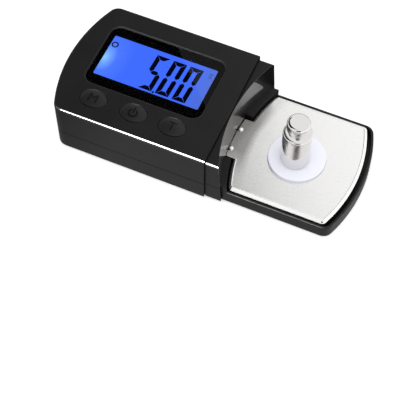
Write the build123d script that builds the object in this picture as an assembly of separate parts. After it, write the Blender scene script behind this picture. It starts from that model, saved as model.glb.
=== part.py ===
"""Digital stylus force gauge: a pocket balance for the tracking force of a record player's stylus.

A black two-part housing holds a backlit display, three press buttons and a beam load cell.
Its concave neck overlooks a pressed steel pan in a shallow tray. The pan's tongue passes under
the neck to an arm on the load cell's free end, and a white disc in the pan takes the stylus.
A turned steel calibration weight stands on that disc.

All the modelling is done in one working frame: x = 0 at the straight seam between the housing and
its neck, +X towards the pan, y = 0 at mid-width, -Y towards the buttons' side, and z = 0 at the flat
underside. Every finished piece then moves by the same step, so that the origin of the written
parts is under the middle of the whole gauge, on the surface that the feet stand on.
"""
from build123d import *
import math
import os

# Overall form
housing_length = 47.85      # seam to the left end's apex
tray_reach = 38.3           # seam to the tray's apex
width = 38.3
body_height = 16.5
parting_height = 5.95
left_arc_radius = 45.0
corner_radius = 3.0
top_edge_radius = 0.65
wall = 1.4
floor_thickness = 1.2
ceiling_thickness = 1.5
groove_size = 0.22          # the fine line along the parting and the seam
lip_height = 1.2
lip_clearance = 0.06
lip_seam_gap = 2.0          # the lip and its rebate stop this far short of the seam
past = 1.0                  # cutters run at least this far past what they cut
weld = 0.1                  # overlap where bodies are joined into one solid

# Neck: the narrower end of the housing that a slip-on cover pushes over
neck_inset = 0.5
neck_drop = 1.05
neck_wall = 1.2
scoop_radius = 48.5         # the concave end face, at its top edge
scoop_depth_x = 0.35        # where that face comes nearest to the seam
scoop_off_y = -0.6          # its axis to the gauge's middle, towards the load cell
scoop_draft = 3.3           # degrees
ledge_width = 1.75          # lower shell beyond the end face, at its apex
slot_front = -8.6
slot_rear = 6.6
tab_drop = 0.5              # upper shell's tab that closes the slot over the tongue
tab_clearance = 0.1

# Tray
tray_width = 35.8
tray_rim_height = 3.87
tray_wall = 0.7
tray_rim_radius = 0.3
tray_arc_radius = 45.0
tray_corner_radius = 2.8

# Pan, disc and weight
pan_top = 4.7
pan_thickness = 0.6
pan_depth = 1.5
pan_edge_radius = 0.9       # outside of the turned-down edge's bend
tongue_edge_radius = 0.25
pan_corner_radius = 1.4
pan_ledge_corner = 1.6
pan_side_gap = 0.3
pan_end_gap = 1.0
ledge_gap = 0.3
tongue_front_gap = 1.0
tongue_rear_gap = 0.6
tongue_tuck = 1.2           # how far the tongue runs past the end face's apex
pan_travel = 0.3
disc_reach = 19.1           # disc's middle to the tray's apex
disc_diameter = 15.8
disc_clearance = 0.05
disc_proud = 0.9
disc_off_y = -0.5           # its middle to the gauge's middle
disc_edge_radius = 0.3
disc_rim = 1.2
disc_rim_thickness = 0.5
weight_diameter = 7.8
weight_body = 12.2
weight_neck_diameter = 5.1
weight_neck = 1.7
weight_knob_diameter = 6.2
weight_knob = 2.8
weight_edge = 0.3
weight_off_x = -0.3         # the weight as someone has put it down, a little off the disc's middle
weight_off_y = -0.9

# Load cell and arm
cell_length = 30.0
cell_width = 7.0
cell_height = 5.6
cell_right = -7.5
cell_y = -1.3
cell_end = 8.0              # solid block at each end of the beam
cell_bore = 4.2
cell_web_slot = 1.4
arm_thickness = 1.0
arm_width = 9.4
arm_tip = 3.7
arm_head = 5.0              # length of its wider end, under the tongue
arm_corner_radius = 0.5
dome_screw_x = 1.6
dome_screw_spacing = 6.8
dome_screw_diameter = 1.7
dome_screw_height = 0.5
dome_screw_shank = 0.9
machine_screw_diameter = 2.0
machine_screw_head = 3.3
machine_screw_head_height = 0.8
machine_screw_pitch = 3.6
machine_screw_bite = 4.0
stop_diameter = 2.4
stop_margin = 0.05
cell_post_margin = 0.4      # the post under the fixed end reaches past the beam's end
cell_post_side = 0.2

# Display
lens_left = 7.05            # lens to the left end's apex
lens_right = 6.8            # lens to the seam
lens_rear = 6.25            # lens to the rear side
lens_front = 11.65          # lens to the front side, past the buttons
lens_corner_radius = 2.8
lens_thickness = 0.8
lens_recess = 0.5
lens_clearance = 0.08
recess_edge_radius = 0.4
border_left = 1.0           # lens over the shell's window, on each side
border_right = 1.6
border_rear = 2.3
border_front = 3.5
window_corner_radius = 0.6
glass_side = 0.3            # lens past the glass on the left and right
glass_rear = 0.9
glass_front = 0.1           # glass past the lens at the front
glass_thickness = 1.9
glass_gap = 0.1
glass_ledge = 2.1           # strip of the glass that the contacts press on
rib_drop = 0.2              # the rib round the glass stops short of its rear face
rib_thickness = 0.8
rib_clearance = 0.15
light_guide_thickness = 1.6
strip_width = 1.6
strip_end = 1.0
led_length = 1.5
led_width = 3.0
led_height = 1.2
led_off = 1.0               # light source's middle to the glass's middle
led_gap = 0.1

# Circuit board
board_thickness = 1.0
board_clearance = 0.6
board_rear = 5.75           # board to the rear side
board_right = 2.2           # board to the seam
post_diameter = 2.2
peg_diameter = 1.0
peg_clearance = 0.05
peg_proud = 0.3
post_left = 4.55            # left posts to the left end's apex
post_right = 4.3            # right posts to the seam
post_rear_y = 8.0
post_front_y = -7.0
chip_side = 6.0
chip_height = 0.9

# Buttons
mode_left = 12.7            # mode button's middle to the left end's apex
tare_step = 11.2            # from the power button's middle
power_off = 0.4             # from the lens's middle
button_front = 6.85         # buttons' middle to the front side
button_length = 7.6
button_width = 5.5
button_proud = 0.45
button_dome_radius = 12.0
button_clearance = 0.12
button_hole_radius = 0.12
button_flange = 0.6
button_flange_thickness = 0.8
button_flange_gap = 0.1
button_stem = 2.4
switch_side = 4.5
switch_height = 1.5
plunger_diameter = 2.0
plunger_clearance = 0.05
plunger_height = 1.1
plunger_proud = 0.5
plunger_well = 0.3          # floor of the switch below its plunger

# Batteries: two button cells in a bay behind the load cell
button_cell_diameter = 11.6
button_cell_height = 5.4
button_cell_step = 0.9      # height of the smaller lid of a cell
button_cell_lid = 9.4
bay_right = -14.0
bay_gap = 0.8               # bay to the load cell's post
bay_clearance = 0.3
bay_wall = 1.0
bay_roof = 0.8
contact_thickness = 0.2
contact_width = 4.0
link_gap = 0.4
link_lift = 1.5             # strips start this far above the cells' lower end
contact_lift = 1.0

# Battery door
door_thickness = 1.0
door_recess = 0.1
door_overlap = 0.6
door_ear = 0.7
door_ear_thickness = 0.5
door_clearance = 0.1
door_air = 0.3              # cells to door
door_grip_lines = 4
door_grip_pitch = 1.6
door_grip_width = 0.7
door_grip_depth = 0.3
door_grip_start = 4.0
door_grip_share = 0.7       # of the door's width
door_rail = 0.8

# Case screws and feet
end_screw_left = 4.75       # the screw at the left end, to that end's apex
end_screw_y = -1.2
corner_screw_left = 7.05
case_screw_side = 3.8       # case screws to the long sides
seam_screw_left = 4.0       # case screws beside the seam
boss_diameter = 3.8
case_screw_diameter = 1.6
case_screw_head = 2.6
case_screw_head_height = 1.0
case_screw_sunk = 0.3
case_screw_bite = 4.5
screw_clearance = 0.1
recess_width = 0.35
foot_diameter = 5.0
foot_proud = 0.5
foot_sunk = 0.4
foot_clearance = 0.05
foot_left = 11.45           # front left foot to the left end's apex
foot_front = 5.75           # and to the front side
seam_foot_left = 8.8
seam_foot_rear = 5.15
tray_foot_right = 7.5       # tray's feet to its apex
tray_foot_side = 4.7        # and to its sides
edge_share = 0.4            # rounding of feet and screw heads, as a share of their height

# Heights and places that follow from the sizes above
length = housing_length + tray_reach
neck_top = body_height - neck_drop
scoop_centre = scoop_depth_x + scoop_radius
ledge_radius = scoop_radius - (neck_top - parting_height) * math.tan(math.radians(scoop_draft)) - ledge_width
ceiling = body_height - ceiling_thickness
pan_bottom = pan_top - pan_thickness
arm_bottom = pan_bottom - arm_thickness
glass_bottom = ceiling - glass_gap - glass_thickness
board_top = glass_bottom - light_guide_thickness
board_bottom = board_top - board_thickness
seam_web = 1.0
reach = 9.0                 # working blocks at the neck run this far past the seam
side = width / 2
neck_side = side - neck_inset
far = 2 * width             # half-space blocks reach this far
disc_x = tray_reach - disc_reach
lens_x0, lens_x1 = lens_left - housing_length, -lens_right
lens_y0, lens_y1 = lens_front - side, side - lens_rear
lens_x, lens_y = (lens_x0 + lens_x1) / 2, (lens_y0 + lens_y1) / 2
glass_x0, glass_x1 = lens_x0 + glass_side, lens_x1 - glass_side
glass_y0, glass_y1 = lens_y0 - glass_front, lens_y1 - glass_rear
glass_middle = (glass_y0 + glass_y1) / 2
button_y = button_front - side
power_x = lens_x + power_off
button_x = {"mode": mode_left - housing_length, "power": power_x, "tare": power_x + tare_step}
post_places = [(x, y) for x in (post_left - housing_length, -post_right)
               for y in (post_front_y, post_rear_y)]
case_screw_places = [
    (end_screw_left - housing_length, end_screw_y),
    (corner_screw_left - housing_length, case_screw_side - side),
    (-seam_screw_left, case_screw_side - side),
    (-seam_screw_left, side - case_screw_side)]
tray_foot_y = tray_width / 2 - tray_foot_side
foot_places = [
    (foot_left - housing_length, foot_front - side),
    (-seam_foot_left, side - seam_foot_rear),
    (tray_reach - tray_foot_right, -tray_foot_y),
    (tray_reach - tray_foot_right, tray_foot_y)]


def block(x0, x1, y0, y1, z0, z1):
    """Box between two corners."""
    return Pos((x0 + x1) / 2, (y0 + y1) / 2, (z0 + z1) / 2) * Box(x1 - x0, y1 - y0, z1 - z0)


def disc(x, y, z0, z1, diameter):
    """Upright cylinder between two heights."""
    return Pos(x, y, (z0 + z1) / 2) * Cylinder(diameter / 2, z1 - z0)


def prism(plan, z0, z1):
    """A plan outline made into a solid between two heights."""
    return Pos(0, 0, z0) * extrude(plan, z1 - z0)


def housing_plan(inset):
    """Main housing: straight sides and seam, convex left end, drawn in by inset on three sides."""
    strip = Pos(-housing_length / 2, 0) * Rectangle(housing_length, width - 2 * inset)
    end = Pos(left_arc_radius - housing_length, 0) * Circle(left_arc_radius - inset)
    outline = strip & end
    corners = outline.vertices().sort_by(Axis.X)[:2]
    return fillet(corners, max(corner_radius - inset, corner_radius / 10))


def tray_plan(inset, end_inset, corner):
    """Tray or pan: straight sides and convex right end."""
    start = ledge_width
    strip = Pos((start + tray_reach) / 2, 0) * Rectangle(tray_reach - start, tray_width - 2 * inset)
    end = Pos(tray_reach - tray_arc_radius, 0) * Circle(tray_arc_radius - end_inset)
    outline = strip & end
    corners = outline.vertices().sort_by(Axis.X)[-2:]
    return fillet(corners, corner)


def scoop(offset):
    """Tapered cutter of the neck's concave end face; a positive offset moves it into the wall."""
    bottom, top = -past, body_height + past
    slope = math.tan(math.radians(scoop_draft))
    low = scoop_radius + offset + (bottom - neck_top) * slope
    high = scoop_radius + offset + (top - neck_top) * slope
    return Pos(scoop_centre, scoop_off_y, (bottom + top) / 2) * Cone(low, high, top - bottom)


def round_cutter(radius):
    """Upright cylinder on the scoop's axis, taller than the gauge."""
    return disc(scoop_centre, scoop_off_y, -past, body_height + past, 2 * radius)


def cavity():
    """Room inside both shells: the main part and the lower, narrower part in the neck."""
    main = prism(housing_plan(wall), floor_thickness, ceiling)
    main -= block(-seam_web, past, -width, width, 0, body_height)
    inner = neck_side - wall
    neck = block(-seam_web - weld, reach, -inner, inner, floor_thickness, neck_top - ceiling_thickness)
    return main + (neck - scoop(neck_wall))


def outer_form():
    """The housing's outside, without the tray."""
    main = prism(housing_plan(0), 0, body_height)
    rims = main.edges().group_by(Axis.Z)[-1].filter_by(lambda e: e.center().X < -groove_size)
    main = fillet(rims, top_edge_radius)
    neck = block(-seam_web, reach, -neck_side, neck_side, 0, neck_top)
    rims = neck.edges().filter_by(Axis.X).group_by(Axis.Z)[-1]
    neck = fillet(rims, top_edge_radius)
    return main, neck


def seam_lines():
    """Fine grooves: round the parting of the two shells, and where the neck leaves the housing."""
    low = parting_height - groove_size / 2
    high = parting_height + groove_size / 2
    ring = prism(housing_plan(0), low, high) - prism(housing_plan(groove_size), low, high)
    ring -= block(-groove_size, past, groove_size - side, side - groove_size, low, high)
    inner = neck_side - groove_size
    for end in (-1, 1):
        near, outer = sorted((end * inner, end * width))
        ring += block(-weld, reach, near, outer, low, high)
    collar = block(0, groove_size, -width, width, -past, body_height + past)
    collar -= block(-past, past, -inner, inner, groove_size, neck_top - groove_size)
    return ring, collar


def screw(diameter, head, head_height, shank):
    """Pan-head screw that points up, its head's underside at z = 0, with a cross recess below."""
    body = disc(0, 0, -head_height, 0, head)
    body = fillet(body.edges().group_by(Axis.Z)[0], head_height * edge_share)
    body += disc(0, 0, 0, shank, diameter)
    depth = head_height * 0.6
    for turn in (0, 90):
        cut = Box(head * 0.62, recess_width, depth)
        body -= Pos(0, 0, -head_height + depth / 2) * Rot(0, 0, turn) * cut
    return body


def rounded_plan(x0, x1, y0, y1, radius):
    """Rectangle between two corners, with round corners."""
    return Pos((x0 + x1) / 2, (y0 + y1) / 2) * RectangleRounded(x1 - x0, y1 - y0, radius)


def lens_plan(grow):
    return rounded_plan(lens_x0 - grow, lens_x1 + grow, lens_y0 - grow, lens_y1 + grow,
                        lens_corner_radius + grow)


def glass_block(grow, z0, z1):
    return block(glass_x0 - grow, glass_x1 + grow, glass_y0 - grow, glass_y1 + grow, z0, z1)


def button_plan(grow):
    return Ellipse(button_length / 2 + grow, button_width / 2 + grow)


# Battery bay, shared by the lower shell, the cells, their contacts and the door
cell_z0 = door_recess + door_thickness + door_air
cell_z1 = cell_z0 + button_cell_height
bay_top = cell_z1 + contact_thickness
cell_b_x = bay_right - contact_thickness - button_cell_diameter / 2
cell_a_x = cell_b_x - button_cell_diameter - link_gap
bay_left = cell_a_x - button_cell_diameter / 2 - bay_clearance
bay_half = button_cell_diameter / 2 + bay_clearance
bay_y = cell_y + cell_width / 2 + cell_post_side + bay_gap + bay_wall + bay_half
door_half = bay_half + door_overlap
door_right = bay_right + door_overlap
ear_z0 = door_recess + door_thickness - door_ear_thickness
ear_z1 = door_recess + door_thickness


def door_form(grow):
    """Door with its side ears; grow gives the room that it slides in."""
    plan = prism(housing_plan(0), 0, body_height)
    panel = block(-housing_length - past, door_right + grow, bay_y - door_half - grow,
                  bay_y + door_half + grow, door_recess - 2 * grow, ear_z1 + grow)
    ear_start = -housing_length - past if grow else bay_left - bay_wall
    ears = block(ear_start, door_right + door_ear + grow, bay_y - door_half - door_ear - grow,
                 bay_y + door_half + door_ear + grow, ear_z0 - grow, ear_z1 + grow)
    return (panel + ears) & plan if not grow else panel + ears


def top_rims(form, x0, x1, y0, y1):
    """Edges in the housing's top face whose middles lie in a rectangle."""
    rims = form.edges().filter_by_position(Axis.Z, body_height - weld, body_height + weld)
    return rims.filter_by(lambda e: x0 < e.center().X < x1 and y0 < e.center().Y < y1)


def display_recess(form):
    """Cut the lens's seat and the button holes into the top, and round their rims."""
    floor = body_height - lens_recess - lens_thickness
    form -= prism(lens_plan(lens_clearance), floor, body_height + past)
    seat = top_rims(form, lens_x0 - past, lens_x1 + past, lens_y0 - past, lens_y1 + past)
    form = fillet(seat, recess_edge_radius)
    half_x, half_y = button_length / 2 + past, button_width / 2 + past
    for x in button_x.values():
        form -= Pos(x, button_y, 0) * prism(button_plan(button_clearance), ceiling - past, body_height + past)
        rim = top_rims(form, x - half_x, x + half_x, button_y - half_y, button_y + half_y)
        form = fillet(rim, button_hole_radius)
    return form


def upper_shell():
    main, neck = outer_form()
    form = display_recess(main) + (neck - scoop(0))
    form &= block(-far, far, -width, width, parting_height, body_height + past)
    form -= cavity()
    tab = block(-past, reach, slot_front + tab_clearance, slot_rear - tab_clearance,
                parting_height - tab_drop, parting_height)
    form += (tab & scoop(neck_wall)) - scoop(0)
    for x, y in case_screw_places:
        form += disc(x, y, parting_height, ceiling + weld, boss_diameter)
    for x, y in post_places:
        form += disc(x, y, board_top, ceiling + weld, post_diameter)
        form += disc(x, y, board_bottom - peg_proud, board_top, peg_diameter)
    rib_bottom = glass_bottom + rib_drop
    rib = glass_block(rib_clearance + rib_thickness, rib_bottom, ceiling + weld)
    form += rib - glass_block(rib_clearance, rib_bottom - past, ceiling)
    window = rounded_plan(lens_x0 + border_left, lens_x1 - border_right, lens_y0 + border_front,
                          lens_y1 - border_rear, window_corner_radius)
    form -= prism(window, glass_bottom + glass_thickness, body_height)
    for x, y in case_screw_places:
        form -= disc(x, y, parting_height - past, parting_height + case_screw_bite + screw_clearance,
                     case_screw_diameter + screw_clearance)
    rebate = prism(housing_plan(0), parting_height - past, parting_height + lip_height + lip_clearance)
    rebate &= prism(housing_plan(wall / 2 - lip_clearance), 0, body_height)
    rebate -= prism(housing_plan(wall), 0, body_height)
    rebate -= block(-lip_seam_gap, past, -width, width, 0, body_height)
    form -= rebate
    ring, collar = seam_lines()
    return form - ring - collar


def lower_shell():
    main, neck = outer_form()
    under = block(-far, far, -width, width, -past, parting_height)
    form = (main & under) + ((neck & under) - scoop(0))
    half = tray_width / 2
    form += block(-seam_web, reach, -half, half, 0, parting_height) - round_cutter(ledge_radius)
    tray = prism(tray_plan(0, 0, tray_corner_radius), 0, tray_rim_height)
    rim = tray.edges().group_by(Axis.Z)[-1].filter_by(lambda e: e.center().X > ledge_width + weld)
    form += fillet(rim, tray_rim_radius)
    form -= cavity()
    well = prism(tray_plan(tray_wall, tray_wall, tray_corner_radius - tray_wall), floor_thickness,
                 body_height)
    form -= well & round_cutter(ledge_radius)
    form -= block(-seam_web, reach, slot_front, slot_rear, floor_thickness, parting_height + past)
    lip = prism(housing_plan(wall / 2), parting_height - wall / 2, parting_height + lip_height)
    lip -= prism(housing_plan(wall), 0, body_height)
    lip -= block(-lip_seam_gap - lip_clearance, past, -width, width, 0, body_height)
    form += lip
    for x, y in case_screw_places:
        form += disc(x, y, floor_thickness - weld, parting_height, boss_diameter)
    cell_left = cell_right - cell_length
    post_half = cell_width / 2 + cell_post_side
    form += block(cell_left - cell_post_margin, cell_left + cell_end, cell_y - post_half,
                  cell_y + post_half, floor_thickness - weld, pan_bottom)
    stop_x = (scoop_depth_x + dome_screw_x) / 2
    stop_top = arm_bottom - pan_travel - stop_margin
    form += disc(stop_x, cell_y, floor_thickness - weld, stop_top, stop_diameter)
    bay_outer = bay_half + bay_wall
    inside = prism(housing_plan(wall / 2), 0, body_height)
    form += block(bay_left - bay_wall, bay_right + bay_wall, bay_y - bay_outer, bay_y + bay_outer,
                  floor_thickness - weld, bay_top + bay_roof) & inside
    pad_half = door_half + door_ear + bay_wall
    form += block(-housing_length, door_right + door_ear + bay_wall, bay_y - pad_half,
                  bay_y + pad_half, floor_thickness - weld, ear_z1 + door_clearance + door_rail) & inside
    form -= block(bay_left, bay_right, bay_y - bay_half, bay_y + bay_half, -past, bay_top)
    form -= door_form(door_clearance)
    for x, y in case_screw_places:
        head_top = case_screw_sunk + case_screw_head_height
        form -= disc(x, y, -past, head_top, case_screw_head + 2 * screw_clearance)
        form -= disc(x, y, 0, parting_height + past, case_screw_diameter + 2 * screw_clearance)
    for x in cell_screw_places():
        form -= disc(x, cell_y, -past, load_screw_seat(), machine_screw_head + 2 * screw_clearance)
        form -= disc(x, cell_y, 0, pan_bottom + past, machine_screw_diameter + 2 * screw_clearance)
    for x, y in foot_places:
        form -= disc(x, y, -past, foot_sunk, foot_diameter + 2 * foot_clearance)
    ring, collar = seam_lines()
    return form - ring - collar


def cell_screw_places():
    """Along the beam, in the middle of its fixed end."""
    middle = cell_right - cell_length + cell_end / 2
    return [middle - machine_screw_pitch / 2, middle + machine_screw_pitch / 2]


def arm_screw_places():
    """Along the beam, in the middle of its free end."""
    middle = cell_right - cell_end / 2
    return [middle - machine_screw_pitch / 2, middle + machine_screw_pitch / 2]


def load_screw_seat():
    return case_screw_sunk + machine_screw_head_height


def load_cell():
    """Beam with two bores joined by a slot, so that its free end sinks without tilting."""
    left = cell_right - cell_length
    z0, z1 = pan_bottom, pan_bottom + cell_height
    mid_z = (z0 + z1) / 2
    body = block(left, cell_right, cell_y - cell_width / 2, cell_y + cell_width / 2, z0, z1)
    bores = (left + cell_end + cell_bore / 2, cell_right - cell_end - cell_bore / 2)
    for x in bores:
        body -= Pos(x, cell_y, mid_z) * Rot(90, 0, 0) * Cylinder(cell_bore / 2, cell_width + 2 * past)
    body -= block(bores[0], bores[1], cell_y - cell_width, cell_y + cell_width,
                  mid_z - cell_web_slot / 2, mid_z + cell_web_slot / 2)
    for x in cell_screw_places() + arm_screw_places():
        body -= disc(x, cell_y, z0 - past, z0 + machine_screw_bite + screw_clearance,
                     machine_screw_diameter + screw_clearance)
    return body


def weighing_pan():
    """Pressed steel pan: flat top, edges turned down, and a flat tongue to the arm."""
    plan = tray_plan(tray_wall + pan_side_gap, tray_wall + pan_end_gap, pan_corner_radius)
    left_edge = Pos(scoop_centre, scoop_off_y) * Circle(ledge_radius - ledge_gap)
    plan = plan & left_edge
    corners = plan.vertices().sort_by(Axis.X)[:2]
    plan = fillet(corners, pan_ledge_corner)
    body = prism(plan, pan_top - pan_depth, pan_top)
    body = fillet(body.edges().group_by(Axis.Z)[-1], pan_edge_radius)
    front, rear = slot_front + tongue_front_gap, slot_rear - tongue_rear_gap
    left = scoop_depth_x - tongue_tuck
    tongue = block(left, reach, front, rear, pan_bottom, pan_top)
    long_edges = tongue.edges().group_by(Axis.Z)[-1].filter_by(Axis.X)
    body += fillet(long_edges, tongue_edge_radius)
    hollow = offset(plan, -pan_thickness)
    body -= prism(hollow, pan_top - pan_depth - past, pan_bottom)
    body -= block(left, reach, front, rear, pan_top - pan_depth - past, pan_bottom)
    body -= disc(disc_x, disc_off_y, 0, pan_top + past, disc_diameter + 2 * disc_clearance)
    for y in dome_screw_ys():
        body -= disc(dome_screw_x, y, 0, pan_top + past, dome_screw_shank + screw_clearance)
    return body


def dome_screw_ys():
    return [cell_y - dome_screw_spacing / 2, cell_y + dome_screw_spacing / 2]


def pan_arm():
    """Flat arm from the load cell's free end out under the pan's tongue."""
    left = cell_right - cell_end
    half = cell_width / 2
    body = block(left, arm_tip - arm_head + weld, cell_y - half, cell_y + half, arm_bottom, pan_bottom)
    body += block(arm_tip - arm_head, arm_tip, cell_y - arm_width / 2, cell_y + arm_width / 2,
                  arm_bottom, pan_bottom)
    body = fillet(body.edges().filter_by(Axis.Z), arm_corner_radius)
    for y in dome_screw_ys():
        body -= disc(dome_screw_x, y, 0, pan_top, dome_screw_shank + screw_clearance)
    for x in arm_screw_places():
        body -= disc(x, cell_y, 0, pan_top, machine_screw_diameter + 2 * screw_clearance)
    return body


def dome_screw(y):
    """Small round-headed screw through the tongue into the arm."""
    radius = (dome_screw_diameter ** 2 / 4 + dome_screw_height ** 2) / (2 * dome_screw_height)
    ball = Pos(dome_screw_x, y, pan_top + dome_screw_height - radius) * Sphere(radius)
    head = ball & disc(dome_screw_x, y, pan_top, pan_top + past, dome_screw_diameter * 2)
    return head + disc(dome_screw_x, y, arm_bottom, pan_top, dome_screw_shank)


def stylus_disc():
    """White moulded disc: its face fills the pan's hole, and its rim is glued under the pan."""
    bottom = pan_bottom - disc_rim_thickness
    face = disc(disc_x, disc_off_y, bottom, pan_top + disc_proud, disc_diameter)
    face = fillet(face.edges().group_by(Axis.Z)[-1], disc_edge_radius)
    return face + disc(disc_x, disc_off_y, bottom, pan_bottom, disc_diameter + 2 * disc_rim)


def calibration_weight():
    """Turned weight: straight body, thin neck and a knob to lift it by."""
    heights = (0, weight_body, weight_body + weight_neck, weight_body + weight_neck + weight_knob)
    body = disc(0, 0, heights[0], heights[1], weight_diameter)
    body = fillet(body.edges().filter_by(GeomType.CIRCLE), weight_edge)
    knob = disc(0, 0, heights[2], heights[3], weight_knob_diameter)
    knob = fillet(knob.edges().filter_by(GeomType.CIRCLE), weight_edge)
    neck = disc(0, 0, heights[1] - weight_edge, heights[2] + weight_edge, weight_neck_diameter)
    return Pos(disc_x + weight_off_x, disc_off_y + weight_off_y, pan_top + disc_proud) * (body + neck + knob)


def display_lens():
    top = body_height - lens_recess
    return prism(lens_plan(0), top - lens_thickness, top)


def display_glass():
    """Liquid crystal cell: a rear plate, and a front plate that stops short of the contact ledge."""
    step = glass_thickness / 2
    body = glass_block(0, glass_bottom, glass_bottom + glass_thickness)
    body -= block(glass_x0 - past, glass_x1 + past, glass_y0 - past, glass_y0 + glass_ledge,
                  glass_bottom - past, glass_bottom + glass_thickness - step)
    return body


def light_guide():
    return block(glass_x0, glass_x1, glass_y0 + glass_ledge, glass_y1, board_top, glass_bottom)


def contact_strip():
    """Striped rubber strip that carries the signals from the board to the glass's ledge."""
    middle = glass_y0 + glass_ledge / 2
    return block(glass_x0 + strip_end, glass_x1 - strip_end, middle - strip_width / 2,
                 middle + strip_width / 2, board_top, glass_bottom + glass_thickness / 2)


def backlight_led():
    right = glass_x0 - led_gap
    middle = glass_middle + led_off
    return block(right - led_length, right, middle - led_width / 2, middle + led_width / 2,
                 board_top, board_top + led_height)


def circuit_board():
    plan = housing_plan(wall + board_clearance)
    body = prism(plan, board_bottom, board_top)
    body &= block(-housing_length, -board_right, -width, side - board_rear, 0, body_height)
    for x, y in case_screw_places:
        body -= disc(x, y, 0, body_height, boss_diameter + 2 * board_clearance)
    for x, y in post_places:
        body -= disc(x, y, 0, body_height, peg_diameter + 2 * peg_clearance)
    return body.solids().sort_by(SortBy.VOLUME)[-1]


def controller_chip():
    x = button_x["power"]
    return block(x - chip_side / 2, x + chip_side / 2, button_y - chip_side / 2,
                 button_y + chip_side / 2, board_bottom - chip_height, board_bottom)


def switch_body(x):
    """Square push switch with a round well for its plunger."""
    half = switch_side / 2
    body = block(x - half, x + half, button_y - half, button_y + half, board_top,
                 board_top + switch_height)
    return body - disc(x, button_y, board_top + plunger_well, board_top + switch_height + past,
                       plunger_diameter + 2 * plunger_clearance)


def switch_plunger(x):
    top = board_top + switch_height + plunger_proud
    return disc(x, button_y, top - plunger_height, top, plunger_diameter)


def button_cap(x):
    """Domed oval key: flange below the ceiling, stem down to the switch's plunger."""
    crown = body_height + button_proud
    flange_top = ceiling - button_flange_gap
    flange_bottom = flange_top - button_flange_thickness
    cap = prism(button_plan(0), flange_bottom, crown)
    cap &= Pos(0, 0, crown - button_dome_radius) * Sphere(button_dome_radius)
    cap += prism(button_plan(button_flange), flange_bottom, flange_top)
    plunger_top = board_top + switch_height + plunger_proud
    cap += disc(0, 0, plunger_top, flange_bottom + weld, button_stem)
    return Pos(x, button_y, 0) * cap


def button_cell(x, lid_up):
    """Button cell: a can with a smaller lid."""
    can_height = button_cell_height - button_cell_step
    if lid_up:
        can = disc(x, bay_y, cell_z0, cell_z0 + can_height, button_cell_diameter)
        lid = disc(x, bay_y, cell_z0 + can_height, cell_z1, button_cell_lid)
    else:
        can = disc(x, bay_y, cell_z0 + button_cell_step, cell_z1, button_cell_diameter)
        lid = disc(x, bay_y, cell_z0, cell_z0 + button_cell_step, button_cell_lid)
    return can + lid


def cell_link():
    """Bent strip from the right cell's can, between the cells, over the left cell's lid."""
    half = contact_width / 2
    gap_right = cell_b_x - button_cell_diameter / 2
    upright = block(gap_right - contact_thickness, gap_right, bay_y - half, bay_y + half,
                    cell_z0 + link_lift, bay_top)
    over = block(cell_a_x, gap_right, bay_y - half, bay_y + half, cell_z1, bay_top)
    return upright + over


def plus_contact():
    """Strip on the bay's right wall, against the right cell's can."""
    half = contact_width / 2
    return block(bay_right - contact_thickness, bay_right, bay_y - half, bay_y + half,
                 cell_z0 + contact_lift, cell_z1)


def minus_contact():
    """Strip along the bay's left wall, against the left cell's can."""
    half = contact_width / 2
    return block(bay_left, bay_left + bay_clearance, bay_y - half, bay_y + half,
                 cell_z0 + contact_lift, cell_z1 - contact_lift)


def battery_door():
    body = door_form(0)
    first = door_grip_start - housing_length
    grip_half = door_half * door_grip_share
    for line in range(door_grip_lines):
        x = first + line * door_grip_pitch
        body -= block(x, x + door_grip_width, bay_y - grip_half, bay_y + grip_half,
                      0, door_recess + door_grip_depth)
    return body


def case_screw(x, y):
    part = screw(case_screw_diameter, case_screw_head, case_screw_head_height,
                 parting_height + case_screw_bite - case_screw_sunk - case_screw_head_height)
    return Pos(x, y, case_screw_sunk + case_screw_head_height) * part


def foot(x, y):
    body = disc(x, y, -foot_proud, foot_sunk, foot_diameter)
    return fillet(body.edges().group_by(Axis.Z)[0], foot_proud * edge_share)


parts = {
    "upper_shell": upper_shell(),
    "lower_shell": lower_shell(),
    "display_lens": display_lens(),
    "display_glass": display_glass(),
    "light_guide": light_guide(),
    "contact_strip": contact_strip(),
    "backlight_led": backlight_led(),
    "circuit_board": circuit_board(),
    "controller_chip": controller_chip(),
    "load_cell": load_cell(),
    "battery_door": battery_door(),
    "battery_left": button_cell(cell_a_x, True),
    "battery_right": button_cell(cell_b_x, False),
    "battery_link": cell_link(),
    "battery_plus_contact": plus_contact(),
    "battery_minus_contact": minus_contact(),
    "weighing_pan": weighing_pan(),
    "pan_arm": pan_arm(),
    "stylus_disc": stylus_disc(),
    "calibration_weight": calibration_weight(),
}
for label, x in button_x.items():
    parts[label + "_button"] = button_cap(x)
    parts[label + "_plunger"] = switch_plunger(x)
    parts[label + "_switch"] = switch_body(x)
for number, y in enumerate(dome_screw_ys(), 1):
    parts[f"pan_screw_{number}"] = dome_screw(y)
for number, x in enumerate(arm_screw_places(), 1):
    parts[f"arm_screw_{number}"] = Pos(x, cell_y, arm_bottom) * screw(
        machine_screw_diameter, machine_screw_head, machine_screw_head_height,
        arm_thickness + machine_screw_bite)
for number, x in enumerate(cell_screw_places(), 1):
    parts[f"load_cell_screw_{number}"] = Pos(x, cell_y, load_screw_seat()) * screw(
        machine_screw_diameter, machine_screw_head, machine_screw_head_height,
        pan_bottom + machine_screw_bite - load_screw_seat())
for number, (x, y) in enumerate(case_screw_places, 1):
    parts[f"case_screw_{number}"] = case_screw(x, y)
for number, (x, y) in enumerate(foot_places, 1):
    parts[f"foot_{number}"] = foot(x, y)

# The written parts stand on their feet, with the origin under the middle of the gauge's length
place = Pos(housing_length - length / 2, 0, foot_proud)
os.makedirs("parts", exist_ok=True)
for name, solid in parts.items():
    export_step(place * solid, f"parts/{name}.step")
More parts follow.
